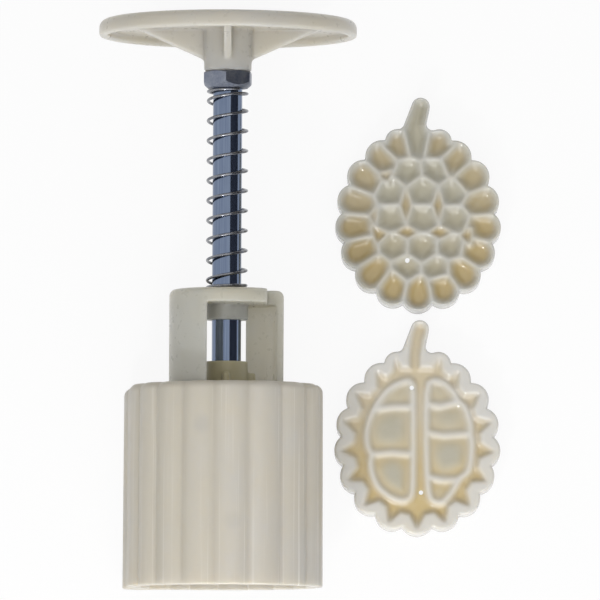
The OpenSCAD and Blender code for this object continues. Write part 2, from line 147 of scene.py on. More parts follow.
class PRESS_PG_fruit(bpy.types.PropertyGroup):
    """The fruit outline that the barrel, the plate and the stamps share."""

    half_width: length("Half width", "Half of the width across the lobes", 28.6)
    low: length("Low reach", "Reach of the outline to the bottom lobe", 31.2)
    high: length("High reach", "Reach of the outline towards the stem", 32.3)
    lobe: length("Lobe", "Radius of a lobe", 5.85)
    pairs: IntProperty(name="Pairs", description="Pairs of lobes beside the bottom one", default=7)
    step: turn("Step", "Mean turn from lobe to lobe", 21.3)
    bunching: turn("Bunching", "How much the lobes bunch towards the ends", 1.9)
    shoulder: length("Shoulder", "Radius of the two lobes beside the stem", 4.3)
    shoulder_rise: length("Shoulder rise", "How proud the shoulder lobes stand", 0.9)
    shoulder_turn: turn("Shoulder turn", "Place of a shoulder lobe round the fruit", 165.5)
    stem_reach: length("Stem reach", "Reach of the stem's tip", 43)
    stem_tip: length("Stem tip", "Width of the stem at its tip", 6.3)
    stem_foot: length("Stem foot", "Width of the stem at its foot", 7.6)
    stem_lean: length("Stem lean", "How far the tip leans sideways from the foot", 1.8)
    stem_crook: length("Stem crook", "Hollow between the stem and a shoulder", 2.2)
    valley: length("Valley", "Rounding of the valley between two lobes", 0.45)


class PRESS_PG_barrel(bpy.types.PropertyGroup):
    """The fluted barrel."""

    wall: length("Wall", "Wall between the cavity and the flutes", 2.9)
    gap: length("Stamp gap", "Clearance between a stamp and the cavity", 0.25)
    draft: length("Draft", "How much the flutes draw in towards the deck", 0.25)
    deck: length("Deck", "Thickness of the deck", 3)
    top_edge: length("Top edge", "Rounding of the flutes' top edge", 2.8)
    lip_edge: length("Lip edge", "Rounding of the lip at the mouth", 0.55)
    flute_valley: length("Flute valley", "Rounding of the valley between two flutes", 1.9)
    hub_hole: length("Hub hole", "Radius of the hole for the plunger's hub", 7.75)
    key_slot_reach: length("Key slot reach", "Reach of a key's slot from the axis", 10.4)
    key_slot_half: length("Key slot half", "Half of the width of a key's slot", 1.5)
    roll: turn("Roll", "Roll of the barrel as it rests on its stem channel", 45.96)


class PRESS_PG_metal(bpy.types.PropertyGroup):
    """The rod, the lock nut and the spring."""

    rod: length("Rod", "Radius of the rod", 5)
    rod_chamfer: length("Rod chamfer", "Chamfer at the rod's ends", 0.8)
    nut_flats: length("Nut flats", "Width of the lock nut across its flats", 15.7)
    nut_turn: turn("Nut turn", "Turn of the lock nut about the rod", 26)
    nut_corner: length("Nut corner", "Rounding of the nut's upright edges", 0.35)
    nut_chamfer: turn("Nut chamfer", "Slope of the chamfer on the nut's corners", 28)
    nut_foot: turn("Nut foot", "Slope of the broad chamfer on the spring's side", 42)
    wire: length("Wire", "Diameter of the spring's wire", 1)
    coil: length("Coil", "Outer diameter of the spring", 14.3)
    open_curls: number("Open curls", "Number of open curls", 9.5)
    closed_rise: length("Closed rise", "Rise of the closed curl at each end", 1.5)
    start: turn("Start", "Angle at which the wire starts on the roof", 118)


class PRESS_PG_stamps(bpy.types.PropertyGroup):
    """The two relief stamps."""

    thickness: length("Thickness", "Thickness of a stamp", 10)
    rim_edge: length("Rim edge", "Rounding of the rim's upper edge", 0.9)
    back_edge: length("Back edge", "Rounding of the back's edge", 0.35)
    socket: length("Socket", "Radius of the socket in the back", 8.03)
    socket_depth: length("Socket depth", "Depth of the socket in the back", 4)
    vent: length("Vent", "Radius of a vent hole at the face", 0.75)
    vent_foot: length("Vent foot", "Radius of a vent hole at the back", 1.9)
    mesh: length("Mesh", "Spacing of the points on a stamp's face", 0.36)
    back_mesh: length("Back mesh", "Spacing of the points on a stamp's back", 2.5)
    cell_depth: length("Cell depth", "Depth of a spine cell", 2.6)
    cell_wall: length("Cell wall", "Width of the slope from a ridge to a cell's floor", 2.6)
    skin_drop: length("Skin drop", "How far the skin's cells sit below the middle", 0.6)
    pods_drop: length("Pods drop", "How far the pods sit below the middle", 0.9)
    # The painted shade of a cell sets in over this width
    tone_wall: length("Tone wall", "Gap over which a cell's colour sets in", 2.2)
    lobe_pits: share("Lobe pits", "Place of a lobe's cell, as a share of the lobe's reach", 0.91)
    rim: length("Rim", "Width of the rim outside the cells", 0.5)
    stem_depth: length("Stem depth", "Depth of the channel along the stem", 1.9)
    star_depth: length("Star depth", "Depth of the floor round the pods", 2.2)
    star_wall: length("Star wall", "Width of the slope down to the floor", 1.8)
    star_margin: length("Star margin", "Gap between a point of the floor and the lobe's edge", 2.6)
    tooth_reach: length("Tooth reach", "How far a tooth reaches in between two lobes", 0.9)
    tooth_half: length("Tooth half", "Half of the width of a tooth's end", 1.7)
    pod_rim: length("Pod rim", "Width of a pod's rim", 1.7)
    pod_rim_depth: length("Pod rim depth", "Depth of a pod's rim below the face", 0.9)
    pod_wall: length("Pod wall", "Width of the slope inside a pod's rim", 2.4)
    pod_depth: length("Pod depth", "Depth of a pod's floor at its edge", 2.0)
    pod_dome: length("Pod dome", "How much the middle of a pod's floor rises", 0.8)


class PRESS_PG_colours(bpy.types.PropertyGroup):
    """Colours of the plastics and the metals, and of the shade painted into hollows."""

    barrel: colour("Barrel", "Milky plastic of the barrel", (200, 195, 185))
    # Painted shade: a darker, yellower colour in the flutes' valleys
    barrel_valley_shade: colour("Barrel valley", "Plastic in the flutes' valleys", (197, 191, 177))
    handle: colour("Handle", "Plastic of the handle", (190, 187, 180))
    tower: colour("Tower", "Clearer plastic of the guide tower", (180, 178, 168))
    plunger: colour("Plunger", "Plastic of the plunger", (172, 165, 136))
    skin: colour("Skin stamp", "Ridges and rim of the skin stamp", (199, 198, 192))
    # Painted shade: the dim colour greys the skin stamp's cells, the deep colour makes its hollows golden and
    # darker
    skin_dim: colour("Skin stamp, dim", "Shallow cells of the skin stamp", (184, 181, 163))
    skin_deep: colour("Skin stamp, deep", "Deep cells of the skin stamp", (190, 171, 126))
    section: colour("Section stamp", "Ridges and rim of the section stamp", (216, 213, 206))
    # Painted shade: the dim colour greys the pods' domes, the deep colour makes the floor golden and darker
    section_dim: colour("Section stamp, dim", "Pods of the section stamp", (186, 182, 166))
    section_deep: colour("Section stamp, deep", "Floor of the section stamp", (207, 186, 136))
    rod: colour("Rod", "Bright zinc on the rod", (112, 125, 148))
    nut: colour("Nut", "Zinc on the nut and the screw", (128, 134, 148))
    wire: colour("Wire", "Spring wire", (132, 134, 140))


class PRESS_PG_studio(bpy.types.PropertyGroup):
    """The camera and the light."""

    elevation: turn("Elevation", "Height of the camera above the horizon", 83.2)
    roll: turn("Roll", "Roll of the camera", 0.29)
    distance: length("Distance", "Distance of the camera", 3200)
    view_width: length("View width", "Width of the view at the object", 205.8)
    aim_x: length("Aim x", "Sideways place that the camera aims at", -0.07)
    aim_y: length("Aim y", "Place along the press that the camera aims at", 3.3)
    aim_z: length("Aim z", "Height that the camera aims at", 20)
    sky: number("Sky", "Strength of the sky's light", 0.52)
    key: number("Key", "Power of the soft key lamp, in watts", 2.6)
    top: number("Top", "Power of the lamp overhead, in watts", 1.6)
    glint: number("Glint", "Power of the small lamp, in watts", 0.75)
    flag_turn: turn("Flag turn", "How far from straight above the dark flag hangs", 56)
    flag_spread: turn("Flag spread", "How wide the flag looks from the press", 66)


GROUPS = {
    "press_fruit": PRESS_PG_fruit,
    "press_barrel": PRESS_PG_barrel,
    "press_metal": PRESS_PG_metal,
    "press_stamps": PRESS_PG_stamps,
    "press_colours": PRESS_PG_colours,
    "press_studio": PRESS_PG_studio,
}


# ---- Materials ----


class Paint:
    """A tree of shader nodes, laid out one call at a time."""

    def __init__(self, tree):
        self.tree = tree
        tree.nodes.clear()

    def node(self, kind, sockets=(), **settings):
        """A new node, fed with numbers, colours and other nodes' outputs."""
        made = self.tree.nodes.new("ShaderNode" + kind)
        for key, value in settings.items():
            setattr(made, key, value)
        for key, value in dict(sockets).items():
            if isinstance(value, bpy.types.NodeSocket):
                self.tree.links.new(value, made.inputs[key])
            else:
                made.inputs[key].default_value = value
        return made

    def where(self, matrix=None, stretch=(1, 1, 1)):
        """Coordinates in the row's frame, or in the press's own, scaled along each axis."""
        place = self.node("TexCoord").outputs["Object"]
        if matrix is not None:
            move, turns = matrix.to_translation(), matrix.to_euler()
            sockets = {"Vector": place, "Location": move, "Rotation": turns}
            place = self.node("Mapping", sockets, vector_type="POINT").outputs["Vector"]
        scaled = self.node("VectorMath", {0: place, 1: stretch}, operation="MULTIPLY")
        return scaled.outputs["Vector"]

    def noise(self, place, scale, detail=3, roughness=0.5):
        sockets = {"Vector": place, "Scale": scale, "Detail": detail, "Roughness": roughness}
        return self.node("TexNoise", sockets).outputs["Fac"]

    def spread(self, value, low, high, to_low=0.0, to_high=1.0, rise="LINEAR"):
        """Maps a value from one range to another and keeps it inside."""
        ends = {"From Min": low, "From Max": high, "To Min": to_low, "To Max": to_high}
        made = self.node("MapRange", {"Value": value, **ends}, interpolation_type=rise)
        return made.outputs["Result"]

    def maths(self, operation, a, b):
        return self.node("Math", {0: a, 1: b}, operation=operation).outputs["Value"]

    def blend(self, amount, a, b):
        """Mixes two colours, each a socket or a plain colour."""
        a, b = (c if isinstance(c, bpy.types.NodeSocket) else (*c, 1) for c in (a, b))
        made = self.node("Mix", {"Factor": amount, "A": a, "B": b}, data_type="RGBA")
        return made.outputs["Result"]

    def tone(self, name, uneven):
        """Strength of one of a mesh's own tones, made uneven."""
        own = self.node("Attribute", attribute_name=name).outputs["Fac"]
        return self.maths("MULTIPLY", own, uneven)

    def bump(self, height, depth, strength):
        sockets = {"Height": height, "Distance": depth, "Strength": strength}
        return self.node("Bump", sockets).outputs["Normal"]

    def seen_apart(self, lit, seen, strength=1.0):
        """One shader for the light, and another for the camera, in mirrors and in glass."""
        rays = self.node("LightPath").outputs
        direct = self.maths("MAXIMUM", rays["Is Camera Ray"], rays["Is Glossy Ray"])
        direct = self.maths("MAXIMUM", direct, rays["Is Transmission Ray"])
        amount = self.maths("MULTIPLY", direct, strength)
        return self.node("MixShader", {0: amount, 1: lit, 2: seen}).outputs["Shader"]

    def principled(self, sockets):
        shader = self.node("BsdfPrincipled", sockets)
        self.node("OutputMaterial", {"Surface": shader.outputs["BSDF"]})


def new_material(name):
    """A material, and the paint for its nodes."""
    material = bpy.data.materials.new(name)
    material.use_nodes = True
    return material, Paint(material.node_tree)


def tinted(shade, factors):
    return tuple(min(1.0, s * f) for s, f in zip(shade, factors))


# Factors that tint a shade
WARM = (1.015, 1.0, 0.96)
COOL = (0.985, 0.995, 1.015)
SMUDGE = (0.8, 0.82, 0.86)
DARK_STREAK = (0.74, 0.76, 0.82)
BRIGHT_STREAK = (1.22, 1.2, 1.14)
STAIN = (0.8, 0.8, 0.8)

SCUFFED = (0.8, 0.78, 0.74)
WHITE = (1, 1, 1, 1)
# How far red, green and blue light get into the plastic, as shares of its reach
LIGHT_REACH = (1.0, 0.93, 0.8)

# Noise scales: how many cells of each pattern fit into a metre
CLOUDS = 45
MOTTLE = 260
SHEEN = 420
GRAIN = 800
SCUFF_LINES = 1100
SCUFF_PATCHES = 130
DRAWN_LINES = 2600
BROAD_LINES = 520
STAINS = 180

# How little the scuff lines change along the press, as a share of how much across it
SCUFF_STRETCH = 0.008
GRAIN_DEPTH = 0.02 * MM


def moulded_plastic(
    name, shade, deep, gloss, glow, reach, dim=None, along=None, scuffs=0.0, marks=()
):
    """Milky food plastic: clouded colour, painted shade that makes it dimmer and deeper in hollows, satin skin."""
    material, paint = new_material(name)
    place = paint.where(along)
    clouds = paint.spread(paint.noise(place, CLOUDS, 4), 0.35, 0.65)
    base = paint.blend(clouds, tinted(shade, WARM), tinted(shade, COOL))
    uneven = paint.spread(paint.noise(place, MOTTLE), 0.2, 0.8, 0.88, 1.08)
    # Painted shade: the mesh's tones blend in the dim and the deep colour over its hollows
    if dim is not None:
        base = paint.blend(paint.tone("dull", uneven), base, dim)
    base = paint.blend(paint.tone("recess", uneven), base, deep)
    for spot, size, strength in marks:
        gap = paint.node("VectorMath", {0: place, 1: spot}, operation="DISTANCE").outputs["Value"]
        near = paint.spread(gap, 0.3 * size, size, strength, 0, rise="SMOOTHSTEP")
        base = paint.blend(near, base, tinted(shade, SMUDGE))
    grain = paint.noise(place, GRAIN, 2)
    if scuffs:
        lines = paint.where(along, (1, 1, SCUFF_STRETCH))
        drawn = paint.spread(paint.noise(lines, SCUFF_LINES, 2, 0.6), 0.56, 0.66)
        patches = paint.spread(paint.noise(lines, SCUFF_PATCHES, 2), 0.42, 0.6)
        drawn = paint.maths("MULTIPLY", drawn, patches)
        sideways = paint.node("SeparateXYZ", {"Vector": place}).outputs["X"]
        right = paint.spread(sideways, -10 * MM, 20 * MM, 0.3, 1)
        drawn = paint.tone("wall", paint.maths("MULTIPLY", drawn, right))
        base = paint.blend(paint.maths("MULTIPLY", drawn, scuffs), base, SCUFFED)
        grain = paint.maths("SUBTRACT", grain, drawn)
    skin = paint.noise(place, SHEEN, 4)
    sockets = {
        "Base Color": base,
        "Roughness": paint.spread(skin, 0.3, 0.7, gloss - 0.05, gloss + 0.09),
        "Normal": paint.bump(grain, GRAIN_DEPTH, 0.3),
        "IOR": 1.49,
        "Subsurface Weight": glow,
        "Subsurface Radius": LIGHT_REACH,
        "Subsurface Scale": reach * MM,
    }
    paint.principled(sockets)
    return material


def drawn_metal(name, shade, roughness, streak=1.0, drawn=0.012):
    """Bright metal with a fine grain, drawn out along the press's axis."""
    material, paint = new_material(name)
    lines = paint.where(UPRIGHT, (1, 1, drawn))
    fine = paint.noise(lines, DRAWN_LINES, 3, 0.6)
    broad = paint.maths("MULTIPLY", paint.noise(lines, BROAD_LINES, 2), 0.45)
    tone = paint.maths("ADD", paint.maths("MULTIPLY", fine, 0.55), broad)
    across = paint.spread(tone, 0.38, 0.62)
    base = paint.blend(across, tinted(shade, DARK_STREAK), tinted(shade, BRIGHT_STREAK))
    stains = paint.spread(paint.noise(paint.where(), STAINS, 4), 0.55, 0.8, 0, 0.25)
    sockets = {
        "Base Color": paint.blend(stains, base, tinted(shade, STAIN)),
        "Metallic": 1.0,
        "Roughness": paint.spread(fine, 0.3, 0.7, roughness * 0.7, roughness * 1.3),
        "Normal": paint.bump(tone, GRAIN_DEPTH * streak, 0.5),
    }
    paint.principled(sockets)
    return material


# ---- Meshes ----


def face_outward(mesh):
    """Turns the faces of a closed mesh to the outside."""
    work = bmesh.new()
    work.from_mesh(mesh)
    bmesh.ops.recalc_face_normals(work, faces=work.faces[:])
    work.to_mesh(mesh)
    work.free()


def placed(name, data):
    """A new object in the scene."""
    made = bpy.data.objects.new(name, data)
    bpy.context.scene.collection.objects.link(made)
    return made


def dress(mesh, name, role, material):
    """A smooth piece from a finished mesh.

    Its role is the CAD node that it stands for, the body that it rides on and its
    material slot, which is not used."""
    node, body, slot = role
    for face in mesh.polygons:
        face.use_smooth = True
    mesh.materials.append(material)
    piece = placed(name, mesh)
    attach(piece, body)
    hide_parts(node)
    return piece


def make_piece(name, shell, matrix, role, material, sharp=38, tones=()):
    """A new piece from its skin's points and faces, with tones for its material."""
    mesh = bpy.data.meshes.new(name)
    mesh.from_pydata([tuple(p) for p in np.vstack(shell.points)], [], shell.faces)
    for tone, amounts in tones:
        layer = mesh.attributes.new(tone, "FLOAT", "POINT")
        layer.data.foreach_set("value", np.asarray(amounts, np.float32))
    mesh.transform(matrix)
    mesh.validate()
    face_outward(mesh)
    piece = dress(mesh, name, role, material)
    mesh.set_sharp_from_angle(angle=radians(sharp))
    return piece


def at_height(outline, z):
    """An outline lifted to one height, or each of its points to a height of its own."""
    return np.column_stack([outline, np.broadcast_to(z, len(outline))])


class Shell:
    """Points and faces of a closed piece, collected ring by ring."""

    def __init__(self):
        self.points = []
        self.faces = []
        self.total = 0

    def ring(self, points):
        """Adds points and gives the first one's number."""
        start = self.total
        self.points.append(points)
        self.total += len(points)
        return start

    def wall(self, upper, lower, size):
        """Quads between two rings of the same size."""
        for k in range(size):
            after = (k + 1) % size
            self.faces.append((upper + k, upper + after, lower + after, lower + k))

    def cap(self, start, size):
        """One face across a ring."""
        self.faces.append(tuple(range(start, start + size)))

    def lid(self, start, edge, holes, spacing):
        """A flat face inside a ring that is already there. Gives where the holes' rings start."""
        spots, triangles = flat_mesh(edge[:, :2], holes, spacing)
        count = len(edge)
        fresh = self.ring(at_height(spots[count:], edge[0, 2]))
        self.faces += (triangles + np.where(triangles < count, start, fresh - count)).tolist()
        return [fresh + sum(len(h) for h in holes[:k]) for k in range(len(holes))]


def stacked(rings, looped=False):
    """A skin through a stack of rings, with capped ends or joined end to start."""
    shell = Shell()
    starts = [shell.ring(ring) for ring in rings]
    size = len(rings[0])
    for k in range(len(rings) - 1):
        shell.wall(starts[k], starts[k + 1], size)
    if looped:
        shell.wall(starts[-1], starts[0], size)
    else:
        shell.cap(starts[0], size)
        shell.cap(starts[-1], size)
    return shell


def moulded_copy(name, voxel, relax, role, material):
    """A CAD solid with the soft edges and inner corners of a moulding."""
    mesh = frame["nodes"][role[0]].data.copy()
    mesh.transform(UPRIGHT)
    mesh.materials.clear()
    rough = placed("rough", mesh)
    remesh = rough.modifiers.new("skin", "REMESH")
    remesh.mode = "VOXEL"
    remesh.voxel_size = voxel
    soften = rough.modifiers.new("soften", "SMOOTH")
    soften.factor = 0.5
    soften.iterations = relax
    seen = rough.evaluated_get(bpy.context.evaluated_depsgraph_get())
    done = bpy.data.meshes.new_from_object(seen)
    bpy.data.objects.remove(rough)
    done.name = name
    done.transform(PRESS)
    dress(done, name, role, material)


# ---- Fruit outline ----


def egg_reach(fruit, angle):
    end = fruit.low if cos(angle) > 0 else fruit.high
    return fruit.half_width + (end - fruit.half_width) * cos(angle) ** 2


def fruit_rounds(fruit):
    """(x, y, radius) of the lobes and the stem's tip, in order round the fruit."""

    def lobe(angle, radius, rise):
        reach = egg_reach(fruit, angle) + rise - radius
        return (reach * sin(angle), -reach * cos(angle), radius)

    rounds = [lobe(-fruit.shoulder_turn, fruit.shoulder, fruit.shoulder_rise)]
    for i in range(-fruit.pairs, fruit.pairs + 1):
        angle = i * fruit.step - fruit.bunching * sin(2 * i * fruit.step)
        rounds.append(lobe(angle, fruit.lobe, 0))
    rounds.append(lobe(fruit.shoulder_turn, fruit.shoulder, fruit.shoulder_rise))
    tip = fruit.stem_tip / 2
    rounds.append((0.4 * fruit.stem_lean, fruit.stem_reach - tip, tip))
    return rounds


def touching(a, b, radius):
    """A hollow of the given radius that touches two rounds from outside the fruit."""
    ra, rb = a[1] + radius, b[1] + radius
    way = b[0] - a[0]
    span = way.length
    along = (ra * ra - rb * rb + span * span) / (2 * span)
    off = sqrt(max(ra * ra - along * along, 0))
    out = Vector((way.y, -way.x)) / span
    return (a[0] + way * along / span + out * off, radius)


def beside_stem(fruit, shoulder, tip, side, grow, radius):
    """The hollow between a shoulder and the stem's straight side."""
    foot = -0.6 * fruit.stem_lean + side * (fruit.stem_foot / 2 + grow + radius)
    reach = shoulder[1] + radius
    rise = sqrt(reach**2 - (foot - shoulder[0].x) ** 2)
    hollow = (Vector((foot, shoulder[0].y + rise)), radius)
    if (tip[0] - hollow[0]).length < tip[1] + radius:
        pair = (shoulder, tip) if side > 0 else (tip, shoulder)
        return touching(*pair, radius)
    return hollow


def contact(a, b, bend):
    """Where the line between a round and a hollow leaves the one and meets the other."""
    way = b[0] - a[0]
    slant = acos(min(1, (a[1] + b[1]) / way.length))
    out = way.normalized()
    out.rotate(Matrix.Rotation(bend * slant, 2))
    return a[0] + a[1] * out, b[0] - b[1] * out


def arc(centre, radius, start, end, count, clockwise=False):
    """Points along an arc, at the middles of equal steps."""
    sweep = (start - end) % (2 * pi) if clockwise else (end - start) % (2 * pi)
    way = -1 if clockwise else 1
    angles = [start + way * sweep * (k + 0.5) / count for k in range(count)]
    return [(centre[0] + radius * cos(a), centre[1] + radius * sin(a)) for a in angles]


def fruit_outline(fruit, grow, hollow=None, round_points=14, hollow_points=6):
    """The fruit's outline, grown or drawn in, as an array.

    Every outline has the same number of points in the same order. Its hollows keep
    parallel to the fruit's own where no rounding is given."""
    rounds = [(Vector((x, y)), r + grow) for x, y, r in fruit_rounds(fruit)]
    tip = rounds[-1]
    least = 0.05 * MM
    valley = max(fruit.valley - grow, least) if hollow is None else hollow
    crook = max(fruit.stem_crook - grow, least) if hollow is None else hollow
    chain = []
    for k, this in enumerate(rounds):
        chain.append(this)
        if this is tip:
            chain.append(beside_stem(fruit, rounds[0], tip, -1, grow, crook))
        elif rounds[k + 1] is tip:
            chain.append(beside_stem(fruit, this, tip, 1, grow, crook))
        else:
            chain.append(touching(this, rounds[k + 1], valley))
    meets = []
    for k, this in enumerate(chain):
        bend = 1 if k % 2 else -1
        meets.append(contact(this, chain[(k + 1) % len(chain)], bend))
    points = []
    for k, (centre, radius) in enumerate(chain):
        enter, leave = meets[k - 1][1] - centre, meets[k][0] - centre
        start, end = atan2(enter.y, enter.x), atan2(leave.y, leave.x)
        count = hollow_points if k % 2 else round_points
        points += arc(centre, radius, start, end, count, clockwise=bool(k % 2))
    return np.array(points)


def into_barrel(outline, roll):
    """A stamp's outline as it faces out of the mouth of the rolled barrel."""
    x, y = -outline[:, 0], outline[:, 1]
    return np.column_stack([x * cos(roll) - y * sin(roll), x * sin(roll) + y * cos(roll)])


# ---- Barrel ----


def edge_steps(radius, count=6):
    """(draw in, drop) pairs round a rounded edge, from the wall to the flat face."""
    return [
        (radius * (1 - cos(pi / 2 * k / count)), radius * (1 - sin(pi / 2 * k / count)))
        for k in range(count + 1)
    ]


def key_hole(barrel):
    """Outline of the deck's hole for the hub and its four keys."""
    root = asin(barrel.key_slot_half / barrel.hub_hole)
    points = []
    for quarter in (0, pi / 2, pi, 3 * pi / 2):
        along = np.array((cos(quarter), sin(quarter)))
        across = np.array((-along[1], along[0])) * barrel.key_slot_half
        foot = along * barrel.hub_hole * cos(root)
        end = along * barrel.key_slot_reach
        points += [foot - across, end - across, end + across, foot + across]
        points += arc((0, 0), barrel.hub_hole, quarter + root, quarter + pi / 2 - root, 10)
    return np.array(points)


# Rounded edges of the cavity at its ceiling and at the mouth, and the barrel's mesh
CAVITY_EDGE = 0.6 * MM
MOUTH_EDGE = 0.3 * MM
WALL_RINGS = 12
CAVITY_RINGS = 6
DECK_MESH = 3 * MM


def barrel_rings(fruit, barrel, height):
    """Rings of the barrel's walls: up the outside to the deck, then down the cavity."""
    outer = barrel.gap + barrel.wall
    inner = barrel.gap
    lip = barrel.lip_edge

    def flutes(grow, z):
        ring = fruit_outline(fruit, grow, barrel.flute_valley)
        return at_height(into_barrel(ring, barrel.roll), z)

    def cavity(grow, z):
        return at_height(into_barrel(fruit_outline(fruit, grow), barrel.roll), z)

    outside = [flutes(outer - inward, drop) for inward, drop in reversed(edge_steps(lip, 4))]
    for k in range(1, WALL_RINGS + 1):
        z = lip + (height - barrel.top_edge - lip) * k / WALL_RINGS
        outside.append(flutes(outer - barrel.draft * k / WALL_RINGS, z))
    top = outer - barrel.draft
    for inward, drop in edge_steps(barrel.top_edge)[1:]:
        outside.append(flutes(top - inward, height - drop))
    under = height - barrel.deck
    inside_rings = []
    for inward, drop in reversed(edge_steps(CAVITY_EDGE, 4)):
        inside_rings.append(cavity(inner - inward, under - drop))
    for k in reversed(range(1, CAVITY_RINGS)):
        inside_rings.append(cavity(inner, under * k / CAVITY_RINGS))
    for inward, drop in edge_steps(MOUTH_EDGE, 3):
        inside_rings.append(cavity(inner + inward, drop))
    return outside, inside_rings


def barrel_parts(fruit, barrel, height):
    """The barrel's skin, and how many of its points lie on the outside."""
    outside, inside_rings = barrel_rings(fruit, barrel, height)
    walls = [*outside, *inside_rings]
    count = len(walls[0])
    shell = Shell()
    starts = [shell.ring(ring) for ring in walls]
    deck, ceiling = len(outside) - 1, len(outside)
    for k in range(len(walls)):
        if k != deck:
            shell.wall(starts[k], starts[(k + 1) % len(walls)], count)
    hole = key_hole(barrel)
    rims = [shell.lid(starts[k], walls[k], [hole], DECK_MESH)[0] for k in (deck, ceiling)]
    shell.wall(*rims, len(hole))
    return shell, len(outside) * count


class PRESS_OT_barrel(bpy.types.Operator):
    """Fluted barrel with its deck and cavity"""

    bl_idname = "press.barrel"
    bl_label = "Barrel"

    def execute(self, context):
        scene = context.scene
        fruit, barrel, colours = scene.press_fruit, scene.press_barrel, scene.press_colours
        _, height = stations("barrel")
        shell, outside = barrel_parts(fruit, barrel, height)
        points = np.vstack(shell.points)
        reach = np.hypot(points[:, 0], points[:, 1])
        mean_reach = np.array([egg_reach(fruit, a) for a in np.linspace(-pi, pi, 9)]).mean()
        crest, valley = mean_reach + 2.6 * MM, 2.2 * MM
        pale_lip, fade = 2 * MM, 4 * MM
        # Painted shade in the flutes' valleys, faded out near the lip at the mouth
        recess = np.clip((crest - reach) / valley, 0, 1)
        recess *= np.clip((points[:, 2] - pale_lip) / fade, 0, 1)
        wall = np.zeros(len(points))
        wall[:outside] = np.clip((height - points[:outside, 2]) / barrel.top_edge - 0.2, 0, 1)
        recess[outside:] = 0
        upper_mark = (-8.2 * MM, -33 * MM, 54 * MM)
        lower_mark = (2.8 * MM, -33 * MM, 21.6 * MM)
        plastic = moulded_plastic(
            "barrel plastic",
            colours.barrel,
            colours.barrel_valley_shade,
            gloss=0.42,
            glow=0.9,
            reach=4,
            along=UPRIGHT,
            scuffs=0.8,
            marks=[(upper_mark, 5.2 * MM, 0.45), (lower_mark, 4.2 * MM, 0.3)],
        )
        # Tones: painted shade in the valleys, and the wall under the top edge that takes the scuffs
        tones = [("recess", recess), ("wall", wall)]
        role = ("barrel", "barrel", "barrel_plastic")
        make_piece("fluted_barrel", shell, PRESS, role, plastic, tones=tones)
        return {"FINISHED"}


# ---- Tower, handle and plunger ----


# Name of each moulded piece, its role, its colour, the spacing of its mesh in millimetres,
# the rounds that soften it, its gloss, its glow and how deep light gets into it
MOULDINGS = [
    ("tower_moulding", ("guide_tower", "barrel", "tower_plastic"), "tower", 0.36, 10, 0.3, 1, 18),
    ("palm_handle", ("handle", "plunger", "handle_plastic"), "handle", 0.45, 8, 0.3, 1, 9),
    ("plunger_plate", ("plunger", "plunger", "plunger_plastic"), "plunger", 0.42, 8, 0.35, 0.6, 3),
]


class PRESS_OT_mouldings(bpy.types.Operator):
    """Guide tower, palm handle and plunger"""

    bl_idname = "press.mouldings"
    bl_label = "Tower, handle and plunger"

    def execute(self, context):
        for name, role, colour_name, spacing, rounds, gloss, glow, reach in MOULDINGS:
            shade = getattr(context.scene.press_colours, colour_name)
            plastic = moulded_plastic(
                colour_name + " plastic", shade, shade, gloss=gloss, glow=glow, reach=reach
            )
            moulded_copy(name, spacing * MM, rounds, role, plastic)
        return {"FINISHED"}


# ---- Rod, nut, screw and spring ----


def rounded_hexagon(flats, corner, turn_by, side_points=8, corner_points=4):
    """Outline of a hexagon with rounded corners."""
    middle = flats / sqrt(3) - corner / cos(pi / 6)
    points = []
    for k in range(6):
        heading = turn_by + k * pi / 3
        leave = heading + pi / 6
        here, after = (middle * np.array((cos(a), sin(a))) for a in (heading, heading + pi / 3))
        points += arc(here, corner, heading - pi / 6, leave, corner_points)
        out = corner * np.array((cos(leave), sin(leave)))
        points += np.linspace(here + out, after + out, side_points, endpoint=False).tolist()
    return np.array(points)


# Reach of the nut's faces on the handle's side and on the spring's, as shares of its flats'
NUT_FACE = 0.96
NUT_SEAT = 0.87
BORE_LEAD = 0.5 * MM


def nut_rings(metal, low, high):
    """Rings of the lock nut's skin, round its outside and back through its bore."""
    hexagon = rounded_hexagon(metal.nut_flats, metal.nut_corner, metal.nut_turn)
    reach = np.hypot(hexagon[:, 0], hexagon[:, 1])
    unit = hexagon / reach[:, None]
    face = metal.nut_flats / 2 * NUT_FACE
    drop = np.maximum(reach - face, 0) * tan(metal.nut_chamfer)
    seat = metal.nut_flats / 2 * NUT_SEAT
    rise = np.maximum(reach - seat, 0) * tan(metal.nut_foot)
    bore, lead = metal.rod, BORE_LEAD
    return [
        at_height(unit * (bore + lead), low),
        at_height(unit * seat, low),
        at_height(hexagon, low + rise),
        at_height(hexagon, high - drop),
        at_height(unit * face, high),
        at_height(unit * (bore + lead), high),
        at_height(unit * bore, high - lead),
        at_height(unit * bore, low + lead),
    ]


def spring_path(metal, low, high, per_curl=32):
    """Points along the middle of the spring's wire, in the press's own frame."""
    clearance = 0.05 * MM
    seat = metal.wire / 2 + clearance
    start, end = low + seat, high - seat
    curls = metal.open_curls + 2
    pitch = (end - start - 2 * metal.closed_rise) / metal.open_curls
    radius = (metal.coil - metal.wire) / 2

    def height(n):
        closed_low = metal.closed_rise * min(n, 1)
        opened = pitch * max(0, min(n - 1, metal.open_curls))
        closed_high = metal.closed_rise * max(0, n - 1 - metal.open_curls)
        return start + closed_low + opened + closed_high

    path, ways = [], []
    steps = ceil(curls * per_curl)
    for k in range(steps + 1):
        angle = metal.start + 2 * pi * curls * k / steps
        path.append(Vector((radius * cos(angle), radius * sin(angle), height(curls * k / steps))))
        ways.append(Vector((-sin(angle), cos(angle), 0)) * metal.wire)
    return [path[0] - ways[0], *path, path[-1] + ways[-1]]


def tube_rings(path, radius, sides=12):
    """Rings of a round tube along a path."""
    angles = [2 * pi * k / sides for k in range(sides)]
    rings = []
    for k, spot in enumerate(path):
        way = (path[min(k + 1, len(path) - 1)] - path[max(k - 1, 0)]).normalized()
        side = Vector((0, 0, 1)).cross(way).normalized()
        up = way.cross(side)
        rings.append([spot + radius * (cos(a) * side + sin(a) * up) for a in angles])
    return rings


